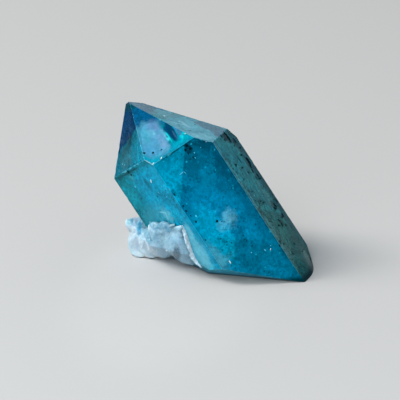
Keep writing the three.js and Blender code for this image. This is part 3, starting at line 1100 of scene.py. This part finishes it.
def make_clouds():
    phantom = sealed_cloud(
        "phantom_cloud", deep=(0.22, 0.34, 0.62), pale=(0.50, 0.55, 0.78), thin=0.8, thick=1.0, size=0.0015)
    new_piece("phantom", phantom_body(), phantom)
    haze = sealed_cloud(
        "haze", deep=(0.5, 0.75, 0.85), pale=(0.8, 0.92, 0.97), thin=0.0, thick=0.8, size=0.0008)
    for name, (kind, spot, radii, roughness, clear) in CLOUDS.items():
        solid = lump(on_face(kind, *spot), radii, face_axes(kind), roughness, clear)
        new_piece(name, solid, haze)


# Healed cracks beside the phantom, and one pale flake that is a painted refraction highlight along the navy
# crack's left side, by their outlines under the tip's front face: their depth, tint and roughness.
FLAKES = {
    "navy_crack": (
        [(0.9, 8.6), (1.5, 8.2), (1.5, 4.6), (0.7, 3.8), (0.2, 4.4), (0.4, 7.3)],
        0.3, (0.02, 0.05, 0.16), 0.3),
    "violet_crack": (
        [(1.6, 7.9), (2.2, 6.9), (2.5, 4.6), (1.6, 3.6), (1.5, 4.6)], 0.35, (0.2, 0.28, 0.6), 0.3),
    # A painted refraction highlight: a pale flake along the left side of the navy crack.
    "refraction_glint_flake": (
        [(-0.7, 8.4), (-0.2, 8.2), (0.1, 6.3), (0.1, 4.2), (-0.5, 4.2), (-0.8, 6.5)],
        0.25, (0.8, 0.97, 1), 0.25),
    "lower_crack": (
        [(2.2, 5), (3, 4.4), (3.2, 3.8), (2.6, 3.1), (1.3, 2.9), (0.9, 3.3), (1.7, 3.8)],
        0.25, (0.8, 0.97, 1), 0.25),
}
FLAKE_THICKNESS = 0.10


def flake(outline, depth):
    """A thin flat flake that lies under the tip's front face."""
    solid = bmesh.new()
    face = solid.faces.new([solid.verts.new(on_face(TIP_FRONT, *spot, depth)) for spot in outline])
    grown = bmesh.ops.extrude_face_region(solid, geom=[face])
    moved = [item for item in grown["geom"] if isinstance(item, bmesh.types.BMVert)]
    bmesh.ops.translate(solid, verts=moved, vec=-FACES[TIP_FRONT][0] * FLAKE_THICKNESS * MM)
    bmesh.ops.recalc_face_normals(solid, faces=solid.faces)
    return solid


def make_flakes():
    for name, (outline, depth, colour, roughness) in FLAKES.items():
        finish = flat_tint(name, colour, roughness)
        new_piece(name, flake(outline, depth), finish, smooth=False)


# Black inclusions in each face: across and up it, then half sizes across and up, in mm.
INCLUSIONS = {
    RIGHT: [
        (1.7, 8.7, 0.36, 0.4), (2.2, 7.6, 0.46, 0.95), (2.2, 6.7, 0.34, 0.4), (-0.7, 8.6, 0.28, 0.4),
        (-0.2, 7.7, 0.18, 0.3), (4.4, 6.2, 0.26, 0.6), (4.5, 1.3, 0.44, 0.9), (3.9, 0.2, 0.26, 0.46),
        (3.4, -0.8, 0.3, 0.5), (4.4, -2.2, 0.26, 0.6), (3.1, -2.4, 0.24, 0.46), (0.5, 2.7, 0.16, 0.8),
        (5.4, -8.5, 0.26, 0.7), (3.4, -9.1, 0.36, 0.6), (2.5, -9.4, 0.24, 0.4),
        (0.5, -11.6, 0.28, 0.32), (0.7, -12.6, 0.24, 0.3), (4, -11.6, 0.3, 0.46),
        (-4.6, 1.2, 0.12, 0.36), (-2.6, -8.2, 0.14, 0.3), (2.2, -13.4, 0.2, 0.26),
    ],
    FRONT: [
        (-1.6, -4.2, 0.26, 0.26), (-0.9, -4.8, 0.12, 0.12), (-0.5, -5, 0.1, 0.14),
        (1.5, 11.2, 0.34, 0.24), (0.8, 10.6, 0.18, 0.3), (1.8, 10.3, 0.26, 0.26), (0.9, 9.7, 0.14, 0.3),
        (1.3, 8.6, 0.12, 0.26), (-5.7, 4.6, 0.14, 0.26), (-5.5, 1.9, 0.16, 0.18), (-5.6, 0.8, 0.18, 0.22),
        (-5.3, -0.5, 0.12, 0.18), (-5.1, -2, 0.2, 0.24), (-5.5, -6, 0.14, 0.18),
        (-1.6, -9.2, 0.12, 0.12), (1.4, -12, 0.14, 0.12), (-2.9, -7.4, 0.12, 0.14),
        (0.6, 2.4, 0.1, 0.14),
    ],
    LEFT: [(-1.4, 12.9, 0.24, 0.26), (-1.1, 12.1, 0.16, 0.22), (2.2, 6, 0.1, 0.24)],
    TIP_FRONT: [(-5.9, 5.8, 0.22, 0.24), (-4.5, 4.7, 0.2, 0.2), (-2.9, 4.2, 0.22, 0.12)],
    TIP_RIGHT: [(-0.3, 5.9, 0.18, 0.2)],
}
# Pale chips and dashes in the same way, some of them turned by an angle in degrees; two of them are painted
# glints at the foot of the tip.
WHITE_CHIPS_AND_GLINTS = {
    # Painted glints: the first spot on the tip's front face, at the corner at the foot of the tip, and the
    # first on the front face, on the edge under the tip.
    TIP_FRONT: [(-5.75, 2.55, 0.3, 0.1, 20), (2.7, 4.2, 0.14, 0.1)],
    FRONT: [
        (-3.9, 11.9, 0.22, 0.09, 30), (-3.9, -12.2, 0.09, 0.26), (4.1, -14.6, 0.06, 0.22, -30),
        (5.1, 9.7, 0.08, 0.1),
    ],
    LEFT: [(3.15, 9.05, 0.11, 0.48, -29)],
    TIP_RIGHT: [(-1.9, 12, 0.16, 0.22)],
}
FAINT_CHIPS = {
    FRONT: [
        (-2.3, 7.3, 0.5, 0.06, 8), (-1.65, 7.05, 0.06, 0.3, 15), (3.1, -14.1, 0.08, 0.26, 20),
        (4.5, -14, 0.14, 0.06), (-4.5, -1.1, 0.14, 0.14), (0.6, -13, 0.07, 0.14),
        (2, 9.2, 0.1, 0.12), (1.6, 8.3, 0.08, 0.14), (3.6, 9.4, 0.08, 0.1),
    ],
    LEFT: [
        (3.2, 6.4, 0.06, 0.26, -10), (4.6, 5, 0.07, 0.12), (5, 7.2, 0.06, 0.1),
        (-2.2, 9.6, 0.14, 0.12),
    ],
    TIP_LEFT: [(-3, 5.6, 0.16, 0.1), (-2.2, 5.2, 0.1, 0.14)],
    TIP_RIGHT: [(-5.9, 2.4, 0.26, 0.08, 20), (-2, 8.8, 0.1, 0.26, -30)],
    RIGHT: [(0, -0.3, 0.07, 0.3), (-3.4, -4.4, 0.06, 0.18), (-6.2, -17, 0.05, 0.5)],
}


# How uneven the outline of a spot is, and how broad its bumps are, in mm.
SPOT_ROUGHNESS = 0.7
SPOT_GRAIN = 0.8


def add_spot(solid, proud, kind, across, up, half_width, half_height, turn=0):
    """A small rugged body set in a face, standing proud of it by a hair."""
    along, beside, normal = face_axes(kind, turn)
    middle = on_face(kind, across, up, RELIEF)
    ball = bmesh.ops.create_icosphere(solid, subdivisions=2, radius=MM)
    for vert in ball["verts"]:
        out = vert.co.copy()
        rugged = 1 + SPOT_ROUGHNESS * noise.noise(out / (SPOT_GRAIN * MM) + middle / MM)
        vert.co = middle + (along * out.x * half_width + beside * out.y * half_height) * rugged
        vert.co += normal * out.z * proud


def make_spots(name, table, finish, proud):
    solid = bmesh.new()
    for kind, rows in table.items():
        for row in rows:
            add_spot(solid, proud, kind, *row)
    new_piece(name, solid, finish)


# ---------------------------------------------------------------- scattered grains and specks

def scatter_tree(name, finish, sides, stretch):
    """Small pointed or ball-like grains strewn over a surface, thickest where the noise is high."""
    inputs = {
        "Geometry": SHAPE, "Density": 1.0, "Cluster": 0.003, "Low": 0.4, "High": 0.6,
        "Smallest": 0.0001, "Largest": 0.0003, "Seed": WHOLE,
    }
    bench, given, result = new_group(name, inputs, {"Geometry": SHAPE}, "GeometryNodeTree")
    cloud = bench.add("ShaderNodeTexNoise", {
        "Vector": bench.add("GeometryNodeInputPosition").outputs[0],
        "Scale": bench.math("DIVIDE", 1.0, given["Cluster"]),
    }).outputs["Fac"]
    crowd = bench.ramp(cloud, given["Low"], given["High"])
    strewn = bench.add("GeometryNodeDistributePointsOnFaces", {
        "Mesh": given["Geometry"],
        "Density": bench.math("MULTIPLY", crowd, given["Density"]),
        "Seed": given["Seed"],
    }, distribute_method="RANDOM").outputs
    if sides:
        grain = bench.add("GeometryNodeMeshCone", {
            "Vertices": sides, "Radius Top": 0.55, "Radius Bottom": 1.0, "Depth": 1.6})
    else:
        grain = bench.add("GeometryNodeMeshIcoSphere", {"Radius": 1.0, "Subdivisions": 1})
    turn = bench.add("FunctionNodeRandomValue", {
        "Min": (-1.0, -1.0, 0.0), "Max": (1.0, 1.0, 6.28), "Seed": given["Seed"],
    }, data_type="FLOAT_VECTOR").outputs["Value"]
    tumbled = bench.add("FunctionNodeRotateEuler", {
        "Rotation": strewn["Rotation"], "Rotate By": turn}, rotation_type="EULER", space="LOCAL")
    size = bench.add("FunctionNodeRandomValue", {
        2: given["Smallest"], 3: given["Largest"], "Seed": given["Seed"]}, data_type="FLOAT").outputs[1]
    uneven = bench.add("FunctionNodeRandomValue", {
        "Min": (0.6, 0.6, 1.0), "Max": (1.2, 1.2, stretch)}, data_type="FLOAT_VECTOR").outputs["Value"]
    scaled = bench.add("ShaderNodeVectorMath", {0: uneven, "Scale": size}, operation="SCALE")
    spread = bench.add("GeometryNodeInstanceOnPoints", {
        "Points": strewn["Points"],
        "Instance": grain.outputs["Mesh"],
        "Rotation": tumbled.outputs["Rotation"],
        "Scale": scaled.outputs["Vector"],
    }).outputs["Instances"]
    real = bench.add("GeometryNodeRealizeInstances", {"Geometry": spread}).outputs["Geometry"]
    dressed = bench.add("GeometryNodeSetMaterial", {"Geometry": real, "Material": finish})
    bench.fill(result, {"Geometry": dressed.outputs["Geometry"]})
    return bench.tree


def strew(name, surface, finish, slot, sides=0, stretch=1.4, **sizes):
    """A piece made of grains strewn over a surface mesh, which is not shown itself."""
    surface.materials.append(finish)
    host = put(name, surface)
    maker = host.modifiers.new("grains", "NODES")
    maker.node_group = scatter_tree(name + "_maker", finish, sides, stretch)
    for item in maker.node_group.interface.items_tree:
        if item.in_out == "INPUT" and item.name.lower() in sizes:
            maker[item.identifier] = sizes[item.name.lower()]
    mesh = bpy.data.meshes.new_from_object(host.evaluated_get(bpy.context.evaluated_depsgraph_get()))
    host.modifiers.remove(maker)
    host.data = mesh
    mesh.name = name
    for vert in mesh.vertices:
        vert.co.z = max(vert.co.z, 0)
    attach(host, "root")


# A cube that holds the whole point, in metres: the faces are cut from it.
HULL_CUBE = 0.2


def hull_under(depth, kinds):
    """A mesh of some of the point's faces, moved in by a depth, for grains to lie on."""
    solid = bmesh.new()
    bmesh.ops.create_cube(solid, size=HULL_CUBE)
    clip_to_hull(solid, depth)
    solid.normal_update()
    unwanted = [face for face in solid.faces if name_face(face.normal) not in kinds]
    bmesh.ops.delete(solid, geom=unwanted, context="FACES")
    return as_mesh("surface", solid)


def make_specks(finish):
    strew(
        "dark_specks", hull_under(depth=0.35, kinds=list(LOOKS)), finish, "blue_quartz",
        density=1.8e6, cluster=0.004, low=0.48, high=0.72,
        smallest=0.06 * MM, largest=0.22 * MM, seed=4,
    )
    strew(
        "edge_specks", hull_under(depth=0.3, kinds=[RIGHT]), finish, "blue_quartz", stretch=3.0,
        density=3.0e6, cluster=0.003, low=0.5, high=0.7,
        smallest=0.06 * MM, largest=0.28 * MM, seed=9,
    )


# ---------------------------------------------------------------- the druse

# The druse's skin, in mm: how fine it is, how far it grows out past the solid, and how often its
# corners are eased. Below the foot it stays as it is.
DRUSE_SKIN = 0.15
DRUSE_GROWTH = 0.36
DRUSE_EASING = 14
DRUSE_FOOT = 0.3
# Its lumps and its crust: their size and height in mm. The crust is rougher at the left.
LUMP_SIZE = 2.2
LUMP_HEIGHT = 0.12
CRUST_SIZE = 0.55
CRUST_HEIGHT = 0.04
ROUGH_CRUST = 0.10
ROUGH_SIDE = (-13.0, -9.0)
# The left end draws in from here, by this share of what lies past, below its top.
DRAWN_FROM = -14.5
DRAW_SHARE = 0.24
DRAW_TOP = (5.5, 7.5)
# The low front settles by a share of its height, up to a height, and back by the slope.
SETTLE_SHARE = 0.65
SETTLE_HEIGHT = 5.0
SETTLE_SLOPE = 2.7
SETTLE_FRONT = (-3.0, 1.0)
# The pale rim of the druse, where it ends against the point: its course on the point's left face,
# across and up in mm, and its thickness there. Its middle lies sunk in by a hair.
RIM_COURSE = [
    (3.7, -1.3, 0.18), (3.5, -1.9, 0.42), (3, -3, 0.58), (2.3, -4.6, 0.66), (1.6, -6, 0.68),
    (1.1, -7.2, 0.66), (0.9, -8.4, 0.56), (1, -9.6, 0.36), (1.3, -10.6, 0.14),
]
RIM_SIDES = 10
RIM_SINK = 0.10


def settle(spot):
    """How the low front of the druse draws back and down, so that it sits close on its surface."""
    height = spot.z / MM
    front = 1 - soft_step(spot.y / MM, *SETTLE_FRONT)
    low = max(height * (1 - height / SETTLE_HEIGHT), 0)
    drop = SETTLE_SHARE * low * front * MM
    return Vector((0, drop * SETTLE_SLOPE, -drop))


def draw_in(spot):
    """How the left end of the druse draws in below its top."""
    past = max(DRAWN_FROM - spot.x / MM, 0)
    return Vector((DRAW_SHARE * past * (1 - soft_step(spot.z / MM, *DRAW_TOP)) * MM, 0, 0))


def druse_skin():
    """The druse's solid, remeshed finely and roughened, grown out to meet the point."""
    blank = as_mesh("druse_blank", merged_copy("milky_druse"))
    solid = as_solid(baked(blank, "REMESH", mode="VOXEL", voxel_size=DRUSE_SKIN * MM))
    for _ in range(DRUSE_EASING):
        bmesh.ops.smooth_vert(
            solid, verts=solid.verts, factor=0.5, use_axis_x=True, use_axis_y=True, use_axis_z=True)
    solid.normal_update()
    for vert in solid.verts:
        if vert.co.z < DRUSE_FOOT * MM:
            continue
        rough = 1 - soft_step(vert.co.x / MM, *ROUGH_SIDE)
        swell = layered_noise(vert.co, LUMP_SIZE) * LUMP_HEIGHT
        crust = layered_noise(vert.co, CRUST_SIZE) * (CRUST_HEIGHT + ROUGH_CRUST * rough)
        vert.co += vert.normal * ((DRUSE_GROWTH + swell + crust) * MM)
        vert.co += draw_in(vert.co) + settle(vert.co)
        vert.co.z = max(vert.co.z, 0.0)
    solid.normal_update()
    return solid


def make_rim(finish):
    """A sugary bead that follows the end of the druse along the point."""
    right, _, normal = face_axes(LEFT)
    angles = [math.tau * step / RIM_SIDES for step in range(RIM_SIDES)]
    ways = [right * math.cos(angle) + normal * math.sin(angle) for angle in angles]
    loops = []
    for across, up, thickness in RIM_COURSE:
        middle = on_face(LEFT, across, up, RIM_SINK)
        loops.append([middle + way * thickness * MM for way in ways])
    solid = loft(loops)
    roughen(solid, size=0.5, height=0.12)
    new_piece("druse_rim", solid, finish)


def make_druse():
    finish = sugary_quartz()
    solid = druse_skin()
    surface = bpy.data.meshes.new("druse_surface")
    solid.to_mesh(surface)
    piece = new_piece("druse", solid, finish)
    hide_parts("milky_druse")
    strew(
        "druse_grains", surface, finish, "milky_quartz", sides=6, stretch=1.6,
        density=1.6e6, cluster=0.002, low=0.45, high=0.65,
        smallest=0.06 * MM, largest=0.16 * MM, seed=3,
    )
    make_rim(flat_tint("rim_quartz", (0.56, 0.74, 0.86), roughness=0.5))


make_camera()
make_room()
make_floor()
make_point()
make_clouds()
make_flakes()
dark = plain_finish("dark_mineral", {
    "Base Color": (0.0, 0.012, 0.018), "Roughness": 0.9, "Specular IOR Level": 0.0})
make_specks(dark)
# A pale tint for white chips and for painted glints.
white = flat_tint("white_chip", (0.74, 0.90, 0.95), roughness=0.4)
faint = flat_tint("faint_chip", (0.09, 0.54, 0.74), roughness=0.4)
make_spots("black_inclusions", INCLUSIONS, dark, proud=0.06)
# White chips and dashes, two of them painted glints at the foot of the tip.
make_spots("white_chips_and_glints", WHITE_CHIPS_AND_GLINTS, white, proud=0.05)
make_spots("faint_chips", FAINT_CHIPS, faint, proud=0.05)
make_druse()
